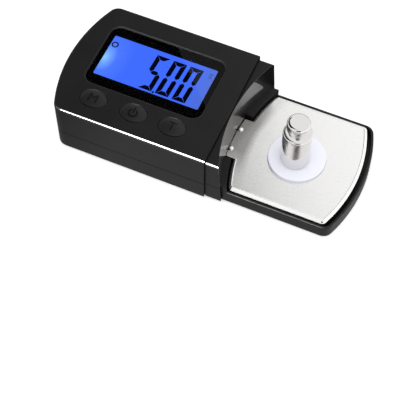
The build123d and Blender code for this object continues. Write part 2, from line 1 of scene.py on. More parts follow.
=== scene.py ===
# %% [markdown]
# Stylus force gauge. The frame below holds the real pieces at their real sizes: the two housing
# shells, the lens and glass of the display, the keys, the steel pan, the disc and the weight. This
# lesson gives them their finishes, adds the marks that are printed or moulded on them, and lights
# and photographs the gauge. Lengths are in metres, so mm turns millimetres into them.

# %% Load the frame
import math
import bpy
from mathutils import Matrix, Vector


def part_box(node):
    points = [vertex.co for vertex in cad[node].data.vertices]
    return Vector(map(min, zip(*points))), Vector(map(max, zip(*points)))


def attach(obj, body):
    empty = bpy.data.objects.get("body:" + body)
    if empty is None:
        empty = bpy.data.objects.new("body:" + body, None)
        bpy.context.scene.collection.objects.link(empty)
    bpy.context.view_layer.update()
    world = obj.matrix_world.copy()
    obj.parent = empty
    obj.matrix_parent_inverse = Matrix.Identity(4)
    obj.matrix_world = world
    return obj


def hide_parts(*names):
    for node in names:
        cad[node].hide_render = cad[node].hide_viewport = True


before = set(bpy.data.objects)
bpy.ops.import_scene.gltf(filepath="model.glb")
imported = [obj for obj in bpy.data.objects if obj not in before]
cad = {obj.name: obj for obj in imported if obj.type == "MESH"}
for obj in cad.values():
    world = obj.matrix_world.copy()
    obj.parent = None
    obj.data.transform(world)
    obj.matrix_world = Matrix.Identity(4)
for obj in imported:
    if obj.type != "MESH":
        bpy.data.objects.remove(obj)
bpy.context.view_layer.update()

mm = 0.001
bpy.ops.object.select_all(action="DESELECT")
scene = bpy.context.scene
scene.view_settings.view_transform = "Standard"
print("pieces in the frame:", len(cad))

# %% [markdown]
# The camera. The photograph looks down on the gauge at about 58 degrees, from a little to the right
# of its front. Those angles, the distance and the focal length come from the perspective of the
# housing's straight edges, so a real lens at a real place repeats the picture with no shift. It
# aims at a point in front of the gauge, because the gauge stands in the upper half of the picture.
# Lengths along the gauge are counted from the seam where the housing ends and its neck begins.

# %% Place the camera
SEAM_X = 4.775 * mm
UNDERSIDE_Z = 0.5 * mm
AZIMUTH, ELEVATION = math.radians(23.77), math.radians(58.18)
DISTANCE = 331.26 * mm
AIM_X, AIM_Y = SEAM_X - 0.49 * mm, -20.55 * mm
FOCAL_PIXELS, PICTURE_PIXELS, SENSOR_WIDTH = 1235.0, 400, 36

aim = Vector((AIM_X, AIM_Y, UNDERSIDE_Z))
ahead = Vector((-math.sin(AZIMUTH) * math.cos(ELEVATION),
                math.cos(AZIMUTH) * math.cos(ELEVATION), -math.sin(ELEVATION)))
bpy.ops.object.camera_add(location=aim - ahead * DISTANCE)
camera = bpy.context.object
camera.rotation_euler = ahead.to_track_quat("-Z", "Y").to_euler()
camera.data.lens = FOCAL_PIXELS / PICTURE_PIXELS * SENSOR_WIDTH
camera.data.sensor_width = SENSOR_WIDTH
camera.data.clip_start = 0.01
scene.camera = camera
print("focal length in mm:", round(camera.data.lens, 1))

# %% [markdown]
# Shader maths in plain Python. A finish is a tree of nodes, and long trees are hard to read as
# code. A small class wraps one socket, so that a sum or product of sockets is written as one, and
# adds the Math node behind the scenes. One method makes any other node from its type and its
# values.

# %% Wrap a socket
class Value:
    """One output socket, with sums and products that add their Math nodes."""

    def __init__(self, finish, socket):
        self.finish, self.socket = finish, socket

    def _math(self, operation, first, second=0.0):
        made = self.finish.node("ShaderNodeMath", {"operation": operation}, {0: first, 1: second})
        return made["Value"]

    def __add__(self, other): return self._math("ADD", self, other)
    def __radd__(self, other): return self._math("ADD", other, self)
    def __sub__(self, other): return self._math("SUBTRACT", self, other)
    def __rsub__(self, other): return self._math("SUBTRACT", other, self)
    def __mul__(self, other): return self._math("MULTIPLY", self, other)
    def __rmul__(self, other): return self._math("MULTIPLY", other, self)
    def __truediv__(self, other): return self._math("DIVIDE", self, other)
    def __gt__(self, other): return self._math("GREATER_THAN", self, other)
    def __lt__(self, other): return self._math("LESS_THAN", self, other)
    def abs(self): return self._math("ABSOLUTE", self)
    def sine(self): return self._math("SINE", self)
    def root(self): return self._math("SQRT", self)
    def max(self, other): return self._math("MAXIMUM", self, other)
    def min(self, other): return self._math("MINIMUM", self, other)


class Made(dict):
    """The outputs of a new node by name, with the node itself."""


def grey(level):
    """A colour without hue."""
    return (level, level, level)


def fill_ramp(ramp, stops):
    """Give a colour ramp its stops, each a position and a colour."""
    while len(ramp.elements) < len(stops):
        ramp.elements.new(0.5)
    for element, (position, colour) in zip(ramp.elements, stops):
        element.position = position
        element.color = (*colour, 1.0)

# %% [markdown]
# A finish is one material with one Principled shader. Real surfaces are never quite even, so most
# finishes here mix two near tones, and let the gloss wander a little, by noise of a size that the
# real process leaves: large blotches on a moulding, fine lines on a brushed sheet.

# %% Wrap a material
class Finish:
    """A material with one Principled shader; keywords are the shader's own sockets."""

    def __init__(self, name, **sockets):
        self.material = bpy.data.materials.new(name)
        self.material.use_nodes = True
        self.tree = self.material.node_tree
        self.shader = self.tree.nodes["Principled BSDF"]
        for key, value in sockets.items():
            self.set(key.replace("_", " "), value)

    def fill(self, target, value):
        """Give an input a link, a colour or a number."""
        if isinstance(value, Value):
            self.tree.links.new(value.socket, target)
        elif isinstance(value, tuple) and len(value) == 3 and target.type == "RGBA":
            target.default_value = (*value, 1.0)
        else:
            target.default_value = value

    def set(self, socket, value):
        self.fill(self.shader.inputs[socket], value)

    def node(self, kind, settings=None, inputs=None):
        """A new node: its type, its settings, and the links or values of its inputs."""
        made = self.tree.nodes.new(kind)
        for key, value in (settings or {}).items():
            if key == "stops":
                fill_ramp(made.color_ramp, value)
            else:
                setattr(made, key, value)
        for key, value in (inputs or {}).items():
            self.fill(made.inputs[key], value)
        outputs = Made((o.name, Value(self, o)) for o in made.outputs if o.enabled)
        outputs.node = made
        return outputs

    def place(self):
        """The point on the object, in metres, as a vector."""
        return self.node("ShaderNodeTexCoord")["Object"]

    def axes(self):
        """The point's three coordinates."""
        parts = self.node("ShaderNodeSeparateXYZ", inputs={0: self.place()})
        return parts["X"], parts["Y"], parts["Z"]

    def radius(self, x0, y0, squash=1.0):
        """Distance from an upright axis; squash below 1 makes its rings long in Y."""
        x, y, _ = self.axes()
        across, along = x - x0, (y - y0) * squash
        return (across * across + along * along).root()

    def noise(self, size, detail=2.0, roughness=0.5, stretch=(1, 1, 1)):
        """Noise whose largest blotches are about size across, in metres."""
        scaled = self.node("ShaderNodeMapping", inputs={0: self.place(), 3: stretch})
        made = self.node("ShaderNodeTexNoise", inputs={
            "Vector": scaled["Vector"], "Scale": 1 / size, "Detail": detail,
            "Roughness": roughness})
        return made.get("Fac") or made["Factor"]

    def ramp(self, factor, stops):
        return self.node("ShaderNodeValToRGB", {"stops": stops}, {0: factor})["Color"]

    def fade(self, value, start, end):
        """0 up to start and 1 from end on, even in between; end may be the lower of the two."""
        return self.ramp((value - start) / (end - start), [(0.0, grey(0.0)), (1.0, grey(1.0))])

    def mix(self, factor, first, second):
        """A blend of two colours; the Mix node's sockets share names, so numbers pick them."""
        made = self.node("ShaderNodeMix", {"data_type": "RGBA"}, {0: factor, 6: first, 7: second})
        return Value(self, made.node.outputs[2])

    def mottle(self, size, low, high, **noise):
        """A base colour that wanders between two near tones."""
        self.set("Base Color", self.mix(self.noise(size, **noise), low, high))

    def roughen(self, least, spread, size, **noise):
        """A roughness that wanders from least up to least + spread."""
        self.set("Roughness", least + self.noise(size, **noise) * spread)

    def bump(self, height, distance, strength=1.0):
        made = self.node("ShaderNodeBump", inputs={
            "Height": height, "Distance": distance, "Strength": strength})
        self.set("Normal", made["Normal"])

    def dress(self, *pieces):
        """Give pieces this finish: those of the frame by name, new ones as objects."""
        pieces = [cad[piece] if isinstance(piece, str) else piece for piece in pieces]
        for piece in pieces:
            if not piece.material_slots:
                piece.data.materials.append(self.material)
            for slot in piece.material_slots:
                slot.material = self.material
        print(self.material.name, "on", ", ".join(piece.name for piece in pieces))

# %% [markdown]
# Helpers for modelling. An operator acts on all that is selected, so each piece starts with nothing
# selected. Faces are then picked in code by a test of their middle, and a finished piece gets its
# place in its mesh, because the export puts every object back at the origin.

# %% Write the modelling helpers
def clear():
    bpy.ops.object.select_all(action="DESELECT")


def take(*pieces):
    """Select these pieces and no other; the first is the active one."""
    clear()
    for piece in pieces:
        piece.select_set(True)
    bpy.context.view_layer.objects.active = pieces[0]


def bake_place():
    """Move the selected piece's place, turn and scale into its mesh."""
    bpy.ops.object.transform_apply(location=True, rotation=True, scale=True)


def open_mesh(piece):
    """Enter edit mode, with all of the piece selected."""
    take(piece)
    bpy.ops.object.mode_set(mode="EDIT")
    bpy.ops.mesh.select_all(action="SELECT")


def close_mesh():
    bpy.ops.object.mode_set(mode="OBJECT")


def pick_faces(piece, test):
    """Select the faces whose middle passes a test. The piece is in edit mode."""
    bpy.ops.mesh.select_mode(type="FACE")
    bpy.ops.mesh.select_all(action="DESELECT")
    bpy.ops.object.mode_set(mode="OBJECT")
    for face in piece.data.polygons:
        face.select = test(face.center)
    bpy.ops.object.mode_set(mode="EDIT")


def recalculate(piece):
    """Merge points that lie on each other, and turn all faces outwards."""
    open_mesh(piece)
    bpy.ops.mesh.remove_doubles(threshold=0.0001 * mm)
    bpy.ops.mesh.normals_make_consistent(inside=False)
    close_mesh()


def modify(piece, kind, **settings):
    """Add a modifier and apply it."""
    made = piece.modifiers.new(kind.lower(), kind)
    for key, value in settings.items():
        setattr(made, key, value)
    bpy.context.view_layer.objects.active = piece
    bpy.ops.object.modifier_apply(modifier=made.name)


def thicken(piece, height):
    """Make a flat piece a thin slab, with its underside where the flat was."""
    modify(piece, "SOLIDIFY", thickness=height, offset=1.0)


def settle(piece, name, body, finish, angle=30):
    """Bake the place into the mesh, smooth it, and hang the piece on its body."""
    take(piece)
    bake_place()
    bpy.ops.object.shade_smooth_by_angle(angle=math.radians(angle))
    piece.name = name
    finish.dress(piece)
    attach(piece, body)
    clear()
    return piece

# %% [markdown]
# The world. The photograph is a cut-out on white, so camera, mirror and glass rays see white. What
# falls on the surfaces as soft light is a little weaker, so that pale things keep their shading.

# %% Build the world
WORLD_LIGHT = 0.88

world = bpy.data.worlds.new("studio")
scene.world = world
world.use_nodes = True
world_tree = world.node_tree
sky = world_tree.nodes["Background"]
sky.inputs["Color"].default_value = (1, 1, 1, 1)
paths = world_tree.nodes.new("ShaderNodeLightPath")
level = world_tree.nodes.new("ShaderNodeMapRange")
level.inputs["To Min"].default_value = 1.0
level.inputs["To Max"].default_value = WORLD_LIGHT
world_tree.links.new(paths.outputs["Is Diffuse Ray"], level.inputs["Value"])
world_tree.links.new(level.outputs[0], sky.inputs["Strength"])
print("world: white to look at, soft light of", WORLD_LIGHT)

# %% [markdown]
# The floor. It keeps the gauge's soft shadow, and a glow that only camera and glass rays see lifts
# the rest of it to white. In mirrors it is a studio table: lit in front of the gauge and brightly
# at its right, and dark behind it and at its left, where the photographed plastic shows no pale
# floor.

# %% Lay the floor
FLOOR_SIZE = 3
FLOOR_GREY, FLOOR_GLOW = 0.8, 0.42
TABLE_LIGHT, RIGHT_TABLE_SHARE = 0.62, 2.4

bpy.ops.mesh.primitive_grid_add(x_subdivisions=4, y_subdivisions=4, size=FLOOR_SIZE,
                                location=(0, 0, 0))
floor = bpy.context.object
floor.name = "studio_floor"
ground = Finish("ground", Roughness=0.9, Specular_IOR_Level=0.0)
rays = ground.node("ShaderNodeLightPath")
mirrored = rays["Is Glossy Ray"]
ground.set("Base Color", ground.mix(mirrored, grey(FLOOR_GREY), grey(0.0)))
across, along, _ = ground.axes()
in_front = ground.fade(along, 15 * mm, -6 * mm)
not_left = ground.fade(across, -65 * mm, -25 * mm)
at_right = ground.fade(across, 40 * mm, 60 * mm)
table = (in_front * not_left).max(at_right * RIGHT_TABLE_SHARE)
looked_at = rays["Is Camera Ray"].max(rays["Is Transmission Ray"])
glow = ground.node("ShaderNodeEmission", inputs={
    "Strength": looked_at * FLOOR_GLOW + mirrored * TABLE_LIGHT * table})
both = ground.node("ShaderNodeAddShader", inputs={
    0: Value(ground, ground.shader.outputs[0]), 1: glow["Emission"]})
ground.fill(ground.tree.nodes["Material Output"].inputs["Surface"], both["Shader"])
ground.dress(floor)

# %% [markdown]
# Lamps. A soft lamp overhead gives the shapes a little direction. A tall lamp in front of the gauge
# draws the white line along its front top edges. Black plastic mirrors only a few hundredths of
# what it sees, so that lamp has to be strong, and it is linked to the two shells alone, in mirror
# rays alone, so that it neither washes the colours nor burns a spot into the steel. A low lamp at
# the right lifts the tray's end wall, and is linked to the lower shell.

# %% Place the lamps
def lamp(name, place, target, width, height, watts):
    """Rectangular softbox that faces a point."""
    bpy.ops.object.light_add(type="AREA", location=place)
    made = bpy.context.object
    made.name = name
    made.data.shape = "RECTANGLE"
    made.data.size, made.data.size_y = width, height
    made.data.energy = watts
    made.rotation_euler = (Vector(target) - Vector(place)).to_track_quat("-Z", "Y").to_euler()
    return made


def light_only(made, *names):
    """Link a lamp to some pieces, so that it lights nothing else."""
    lit = bpy.data.collections.new("lit_by_" + made.name)
    for name in names:
        lit.objects.link(cad[name])
    made.light_linking.receiver_collection = lit
    print(made.name, "lights only", ", ".join(names))


key_lamp = lamp("key_softbox", place=(0.08, -0.12, 0.9), target=(0, 0, 0),
                width=0.5, height=0.5, watts=2.2)
key_lamp.visible_glossy = False
edge_lamp = lamp("edge_softbox", place=(-0.10, -0.30, 0.30), target=(-0.01, -0.02, 0.012),
                 width=0.16, height=0.42, watts=9.0)
edge_lamp.visible_diffuse = False
edge_lamp.visible_camera = False
light_only(edge_lamp, "upper_shell", "lower_shell")
side_lamp = lamp("side_softbox", place=(0.30, 0.06, 0.10), target=(0.045, 0, 0.003),
                 width=0.25, height=0.12, watts=1.1)
side_lamp.visible_camera = False
light_only(side_lamp, "lower_shell")

# %% [markdown]
# Cards. Polished things show what stands round them, and an all-white room makes chrome look like
# milk, so a studio sets black cards about the object. Only rays that a mirror or a clear piece
# sends on see them, so they take no light away. The lens needs both kinds, because its back face
# mirrors the room as well, through its front face. One card lies level above the back of the table.
# Its slanting edge crosses the display's lens, and a short grey strip along that edge makes the
# step from dark to bright a soft one.

# %% Hang the rear card and its grey strip
EDGE_X, EDGE_Y, CARD_HEIGHT = -0.100, 0.204, 0.3
REAR_TURN = math.radians(44.5)
REAR_WIDTH, REAR_LENGTH, REAR_SHIFT = 0.36, 0.51, 0.095
STRIP_WIDTH, STRIP_LENGTH, STRIP_SHIFT = 24 * mm, 90 * mm, 20 * mm


def card(name, place, turn, width, height):
    """Flat card that only mirror and glass rays see; turn is its rotation as XYZ angles."""
    bpy.ops.mesh.primitive_grid_add(x_subdivisions=2, y_subdivisions=2, size=1, location=place,
                                    rotation=turn)
    made = bpy.context.object
    made.name = name
    made.scale = (width, height, 1)
    for ray in ("camera", "diffuse", "volume_scatter", "shadow"):
        setattr(made, "visible_" + ray, False)
    return made


edge_point = Vector((EDGE_X, EDGE_Y, CARD_HEIGHT))
across_edge = Vector((math.cos(REAR_TURN), math.sin(REAR_TURN), 0))
along_edge = Vector((math.sin(REAR_TURN), -math.cos(REAR_TURN), 0))
rear_card = card("rear_card", edge_point - across_edge * REAR_WIDTH / 2 - along_edge * REAR_SHIFT,
                 (0, 0, REAR_TURN), REAR_WIDTH, REAR_LENGTH)
grey_card = card("grey_card", edge_point + across_edge * STRIP_WIDTH / 2 - along_edge * STRIP_SHIFT,
                 (0, 0, REAR_TURN), STRIP_WIDTH, STRIP_LENGTH)
Finish("card_black", Base_Color=grey(0.012), Roughness=1.0, Specular_IOR_Level=0.0).dress(rear_card)
Finish("card_grey", Base_Color=grey(0.0), Roughness=1.0, Emission_Color=grey(1.0),
       Emission_Strength=0.22).dress(grey_card)

# %% [markdown]
# The other card stands in front of the gauge, lower than the camera's line of sight, and draws the
# dark lines and the dark middle of the weight. It fades out towards its rim, and later the long
# way, so that its picture in the chrome is soft.

# %% Hang the front card
FRONT_ELEVATION, FRONT_AZIMUTH = math.radians(38), AZIMUTH - math.radians(2)
FRONT_DISTANCE, FRONT_WIDTH, FRONT_LENGTH = 0.4, 0.27, 0.46
RIM, FULL_DARK, LONG_SIDE_SHARE = 0.5, 0.28, 0.9

weight_place = Vector((SEAM_X + 18.9 * mm, -1.4 * mm, 15 * mm))
away = Vector((math.sin(FRONT_AZIMUTH) * math.cos(FRONT_ELEVATION),
               -math.cos(FRONT_AZIMUTH) * math.cos(FRONT_ELEVATION), math.sin(FRONT_ELEVATION)))
front_card = card("front_card", weight_place + away * FRONT_DISTANCE,
                  away.to_track_quat("Z", "Y").to_euler(), FRONT_WIDTH, FRONT_LENGTH)
soft_black = Finish("card_soft_black", Base_Color=(0.055, 0.048, 0.042), Roughness=1.0,
                    Specular_IOR_Level=0.0)
side, upward, _ = soft_black.axes()
from_middle = side.abs().max(upward.abs() * LONG_SIDE_SHARE)
soft_black.set("Alpha", soft_black.fade(from_middle, RIM, FULL_DARK))
soft_black.dress(front_card)

# %% [markdown]
# The housing. It is black moulded plastic with the fine, even grain that a spark-eroded mould
# leaves, and a weak satin sheen. A photograph of it would not fit every side, so noise makes the
# grain.

# %% Mix the moulded plastic
HOUSING_BLACK = (0.0082, 0.0076, 0.0079)
BLOTCH = 9 * mm
DARKER, LIGHTER = 0.82, 1.2
GLOSS_DRIFT, GLOSS_GRAIN, GLOSS_CENTRE = 0.06, 0.03, 0.04


def moulded(name, colour, roughness, grain=0.22 * mm, depth=0.006 * mm):
    """Black moulded plastic: slow changes of colour and sheen, and a fine bump."""
    made = Finish(name, Specular_IOR_Level=0.2)
    slow = made.noise(BLOTCH, detail=3)
    made.set("Base Color", made.mix(slow, tuple(DARKER * c for c in colour),
                                    tuple(LIGHTER * c for c in colour)))
    fine = made.noise(grain, detail=3, roughness=0.6)
    made.satin = slow * GLOSS_DRIFT + fine * GLOSS_GRAIN + (roughness - GLOSS_CENTRE)
    made.set("Roughness", made.satin)
    made.bump(fine, depth, 0.6)
    return made


lower = moulded("housing_black_lower", HOUSING_BLACK, 0.38)
lower.dress("lower_shell", "battery_door")

# %% [markdown]
# The upper shell's polished places. The concave wall over the pan comes from a polished part of the
# mould: it mirrors the steel below it, most clearly towards the rear. That wall is a cone about an
# upright axis, so distance from the axis tells it from the rest, and a clear coat on it alone gives
# the polish. The rounded front edges of the housing and of its lower neck have it too.

# %% Polish the upper shell's wall and front edges
WALL_AXIS_X, WALL_AXIS_Y = SEAM_X + 48.85 * mm, -0.6 * mm
WALL_RADIUS, WALL_MARGIN = 48.5 * mm, 0.06 * mm
WALL_SLOPE = math.tan(math.radians(3.3))
NECK_TOP_Z = UNDERSIDE_Z + 15.45 * mm
FRONT_EDGE_Y, NECK_EDGE_Y = -18.45 * mm, -17.95 * mm
TOP_EDGE_Z, NECK_EDGE_Z = UNDERSIDE_Z + 15.8 * mm, UNDERSIDE_Z + 14.75 * mm
FRONT_POLISH, LEAST_POLISH, SMUDGE_POLISH = 0.66, 0.8, 0.5

upper = moulded("housing_black", HOUSING_BLACK, 0.36)
across, along, height = upper.axes()
wall_radius = (height - NECK_TOP_Z) * WALL_SLOPE + (WALL_RADIUS + WALL_MARGIN)
on_wall = upper.radius(WALL_AXIS_X, WALL_AXIS_Y) < wall_radius
smudges = upper.noise(1.6 * mm, detail=4, roughness=0.65)
toward_rear = FRONT_POLISH + (1 - FRONT_POLISH) * upper.fade(along, 2.8 * mm, 11.2 * mm)
wall_polish = on_wall * (toward_rear * (LEAST_POLISH + smudges * SMUDGE_POLISH)).min(1.0)
on_edge = (along < FRONT_EDGE_Y) * (height > TOP_EDGE_Z)
on_neck_edge = (along < NECK_EDGE_Y) * (height > NECK_EDGE_Z) * (across > SEAM_X)
upper.set("Coat Weight", wall_polish.max(on_edge).max(on_neck_edge))
upper.set("Coat Roughness", 0.06)
upper.set("Coat IOR", 1.8)

# %% [markdown]
# The lens lies in a shallow recess of the upper shell. The recess's walls are dull, so that the
# lens seems to end in shadow. A box a little larger than the lens and below the flat top picks
# them.

# %% Dull the recess round the lens
RECESS_RIM, TOP_MARGIN = 0.55 * mm, 0.05 * mm
RECESS_DULLNESS = 0.4

lens_low, lens_high = (Vector(corner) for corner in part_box("display_lens"))
_, shell_high = (Vector(corner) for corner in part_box("upper_shell"))
in_recess = ((across > lens_low.x - RECESS_RIM) * (across < lens_high.x + RECESS_RIM)
             * (along > lens_low.y - RECESS_RIM) * (along < lens_high.y + RECESS_RIM)
             * (height < shell_high.z - TOP_MARGIN))
upper.set("Roughness", upper.satin + in_recess * RECESS_DULLNESS)
upper.dress("upper_shell")
print("housing top at", round(shell_high.z / mm, 2), "lens top at", round(lens_high.z / mm, 2))

# %% [markdown]
# The keys. They come from another mould than the housing, with a smoother skin. Their marks, an M,
# a power sign and a T, are pad-printed in flat black, so that they show only as a duller tone.

# %% Finish the keys
keys = moulded("key_black", (0.0150, 0.0145, 0.0145), 0.33, grain=0.3 * mm, depth=0.003 * mm)
keys.dress("mode_button", "power_button", "tare_button")

# %% [markdown]
# The lens. It is clear polished acrylic with a black border printed on its back, so the gloss lies
# a little above the black. The slab itself becomes real glass to the renderer, which bends the view
# of what is under it. The border is a thin sheet just inside the back face: a plate as large as the
# lens, with round corners from a vertex bevel, and a window that a Boolean modifier cuts.

# %% Print the lens's border
LENS_CORNER, PRINT_MARGIN = 2.8 * mm, 0.1 * mm
PRINT_LIFT, PRINT_THICKNESS = 0.02 * mm, 0.01 * mm
WINDOW_X, WINDOW_Y = SEAM_X - 24.02 * mm, 3.12 * mm
WINDOW_WIDTH, WINDOW_HEIGHT, WINDOW_CORNER = 30.9 * mm, 14.1 * mm, 0.35 * mm
CUTTER_DEPTH = 2 * mm


def rounded_plate(x, y, z, width, height, corner, segments=10):
    """Flat rectangle with round corners."""
    clear()
    bpy.ops.mesh.primitive_plane_add(size=1, location=(x, y, z))
    piece = bpy.context.object
    piece.scale = (width, height, 1)
    bake_place()
    open_mesh(piece)
    bpy.ops.mesh.bevel(offset=corner, segments=segments, affect="VERTICES")
    close_mesh()
    return piece


lens_mid = (lens_low + lens_high) / 2
lens_size = lens_high - lens_low
border = rounded_plate(lens_mid.x, lens_mid.y, lens_low.z + PRINT_LIFT,
                       lens_size.x - PRINT_MARGIN, lens_size.y - PRINT_MARGIN, LENS_CORNER)
thicken(border, PRINT_THICKNESS)
opening = rounded_plate(WINDOW_X, WINDOW_Y, lens_low.z - CUTTER_DEPTH / 2,
                        WINDOW_WIDTH, WINDOW_HEIGHT, WINDOW_CORNER, segments=4)
thicken(opening, CUTTER_DEPTH)
modify(border, "BOOLEAN", object=opening, operation="DIFFERENCE", solver="EXACT")
bpy.data.objects.remove(opening)
printed = Finish("lens_print_black", Roughness=0.5, Specular_IOR_Level=0.02)
printed.mottle(4 * mm, grey(0.0008), grey(0.0016))
settle(border, "lens_border", "housing", printed)
print("border faces:", len(border.data.polygons))

# %% [markdown]
# The lens itself. Moulded acrylic is never quite flat, so a slow and very shallow bump bends its
# reflections a little. Its colour is a shade off white, as a clear plastic's is along its edge.

# %% Finish the lens
lens = Finish("lens_clear", Base_Color=(0.97, 0.975, 0.98), Roughness=0.015,
              Transmission_Weight=1.0, IOR=1.49)
lens.bump(lens.noise(14 * mm, detail=1), 0.01 * mm, 0.15)
lens.dress("display_lens")

# %% [markdown]
# The lit display. Light comes in at the left end of the guide behind the glass, so the blue is
# paler and greener there, and a little greyer at the far end. The colour is emission, because a
# backlit display shows it in the dark too; the pale patch is a ramp over the distance from the
# lamp's end.

# %% Light the display
LAMP_X, LAMP_Y = WINDOW_X - WINDOW_WIDTH / 2 + 0.4 * mm, WINDOW_Y - 0.6 * mm
GLOW_REACH, GLOW_SQUASH = 7.5 * mm, 0.62
FAR_END = WINDOW_X + WINDOW_WIDTH / 2
FAR_START = WINDOW_X + 0.55 * WINDOW_WIDTH / 2

backlit = Finish("display_backlit", Base_Color=(0.0, 0.0, 0.004), Roughness=0.2,
                 Specular_IOR_Level=0.03, Emission_Strength=1.0)
from_lamp = backlit.radius(LAMP_X, LAMP_Y, squash=GLOW_SQUASH)
blue = backlit.ramp(from_lamp / GLOW_REACH, [
    (0.0, (0.33, 0.70, 1.1)), (0.18, (0.19, 0.45, 1.12)), (0.42, (0.085, 0.22, 1.12)),
    (1.0, (0.058, 0.170, 1.12))])
blue = backlit.mix(backlit.noise(6 * mm, detail=2) * 0.10, blue, (0.06, 0.16, 1.1))
across, _, _ = backlit.axes()
blue = backlit.mix(backlit.fade(across, FAR_START, FAR_END), blue, (0.088, 0.180, 0.74))
backlit.set("Emission Color", blue)
backlit.dress("display_glass")

# %% [markdown]
# The reading. Liquid crystal digits are seven bars with mitred ends and thin gaps between. Each bar
# starts as a plane that is bisected by slanting lines at its ends: a mitre at a corner of the
# digit, a point where two bars meet at its side. The digits are generic, and so is the reading.

# %% Cut the bars of a digit
DIGIT_WIDTH, DIGIT_HEIGHT = 3.9 * mm, 12.0 * mm
BAR, BAR_GAP = 1.32 * mm, 0.16 * mm


def bar(x0, x1, y0, y1, cuts):
    """A plane between two corners, trimmed by lines; each cut is a point and the side that goes."""
    clear()
    bpy.ops.mesh.primitive_plane_add(size=1, location=((x0 + x1) / 2, (y0 + y1) / 2, 0))
    piece = bpy.context.object
    piece.scale = (x1 - x0, y1 - y0, 1)
    bake_place()
    open_mesh(piece)
    for x, y, away_x, away_y in cuts:
        outward = Vector((away_x, away_y, 0)).normalized()
        bpy.ops.mesh.select_all(action="SELECT")
        bpy.ops.mesh.bisect(plane_co=Vector((x, y, 0)) - outward * BAR_GAP / 2,
                            plane_no=outward, clear_outer=True)
    close_mesh()
    return piece


def digit_bar(segment):
    """One of the seven bars, a at the top and then clockwise, g in the middle."""
    w, h, half = DIGIT_WIDTH / 2, DIGIT_HEIGHT / 2, BAR / 2
    if segment == "g":
        return bar(-w, w, -half, half, [(end * (w - half), 0, end, up)
                                        for end in (-1, 1) for up in (1, -1)])
    if segment in "ad":
        up = 1 if segment == "a" else -1
        low, high = sorted((up * h, up * (h - BAR)))
        return bar(-w, w, low, high, [(-w, up * h, -1, -up), (w, up * h, 1, -up)])
    side = 1 if segment in "bc" else -1
    up = 1 if segment in "bf" else -1
    left, right = sorted((side * w, side * (w - BAR)))
    low, high = sorted((0, up * h))
    inner = side * (w - half)
    return bar(left, right, low, high, [
        (side * w, up * h, -side, up), (inner, 0, side, -up), (inner, 0, -side, -up)])

# %% [markdown]
# The bars of one digit are joined, leant over a little by a shear of the mesh, and put on the
# glass. The ink is a film of a hundredth of a millimetre, which a Solidify modifier gives.

# %% Model the digits
LEAN = math.tan(math.radians(2.0))
DIGIT_Y, DIGIT_PITCH = 2.87 * mm, 4.95 * mm
LAST_DIGIT_X = SEAM_X - 14.4 * mm
INK, INK_LIFT = 0.01 * mm, 0.005 * mm

_, glass_high = (Vector(corner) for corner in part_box("display_glass"))
ink_z = glass_high.z + INK_LIFT
ink = Finish("display_ink", Roughness=0.5, Specular_IOR_Level=0.0,
             Emission_Color=(0.0, 0.0006, 0.004), Emission_Strength=1.0)
ink.mottle(1.5 * mm, (0.0004, 0.0008, 0.004), (0.0008, 0.0014, 0.007))


def digit(name, segments, x):
    """The bars of one digit as a single piece, with its middle at x."""
    bars = [digit_bar(segment) for segment in segments]
    take(*bars)
    bpy.ops.object.join()
    piece = bars[0]
    piece.data.transform(Matrix(((1, LEAN, 0, x), (0, 1, 0, DIGIT_Y), (0, 0, 1, ink_z),
                                 (0, 0, 0, 1))))
    thicken(piece, INK)
    return settle(piece, name, "housing", ink)


digits = [digit("digit_ones", "afgcd", LAST_DIGIT_X - 2 * DIGIT_PITCH),
          digit("digit_tenths", "abcdef", LAST_DIGIT_X - DIGIT_PITCH),
          digit("digit_hundredths", "abcdef", LAST_DIGIT_X)]
print("digit points:", [len(piece.data.vertices) for piece in digits])

# %% [markdown]
# The small marks of the display: a ring at its top left that shows that the reading has settled,
# the decimal point, and the letter g for grams at its right. The ring is a disc whose inset middle
# is deleted, and the letter is a text object made a mesh.

# %% Model the display's small marks
STABLE_X, STABLE_Y = SEAM_X - 38.3 * mm, 7.45 * mm
STABLE_RADIUS, STABLE_LINE = 1.0 * mm, 0.36 * mm
POINT_X, POINT_Y, POINT_RADIUS = SEAM_X - 22.0 * mm, -3.15 * mm, 0.34 * mm
GRAM_X, GRAM_Y, GRAM_HEIGHT = SEAM_X - 9.9 * mm, 7.95 * mm, 1.6 * mm


def disc(x, y, z, radius, sides):
    """Flat filled circle."""
    clear()
    bpy.ops.mesh.primitive_circle_add(vertices=sides, radius=radius, fill_type="NGON",
                                      location=(x, y, z))
    bake_place()
    return bpy.context.object


def ring(x, y, z, radius, line, sides=48):
    """Flat ring: a disc, inset by the line's width, with the middle deleted."""
    piece = disc(x, y, z, radius, sides)
    open_mesh(piece)
    bpy.ops.mesh.inset(thickness=line)
    bpy.ops.mesh.delete(type="FACE")
    close_mesh()
    return piece


def letter(text, x, y, z, height, bold=0.0):
    """A character as a flat mesh of a given height, with its middle at a place."""
    clear()
    bpy.ops.object.text_add(location=(0, 0, 0))
    piece = bpy.context.object
    piece.data.body = text
    piece.data.offset = bold
    piece.data.resolution_u = 6
    bpy.ops.object.convert(target="MESH")
    xs = [v.co.x for v in piece.data.vertices]
    ys = [v.co.y for v in piece.data.vertices]
    size = height / (max(ys) - min(ys))
    middle = Vector(((max(xs) + min(xs)) / 2, (max(ys) + min(ys)) / 2, 0))
    piece.data.transform(Matrix.Translation((x, y, z)) @ Matrix.Scale(size, 4)
                         @ Matrix.Translation(-middle))
    return piece


def print_on_glass(piece, name, finish):
    """Give a flat mark the ink's thickness and hang it on the housing."""
    thicken(piece, INK)
    settle(piece, name, "housing", finish)


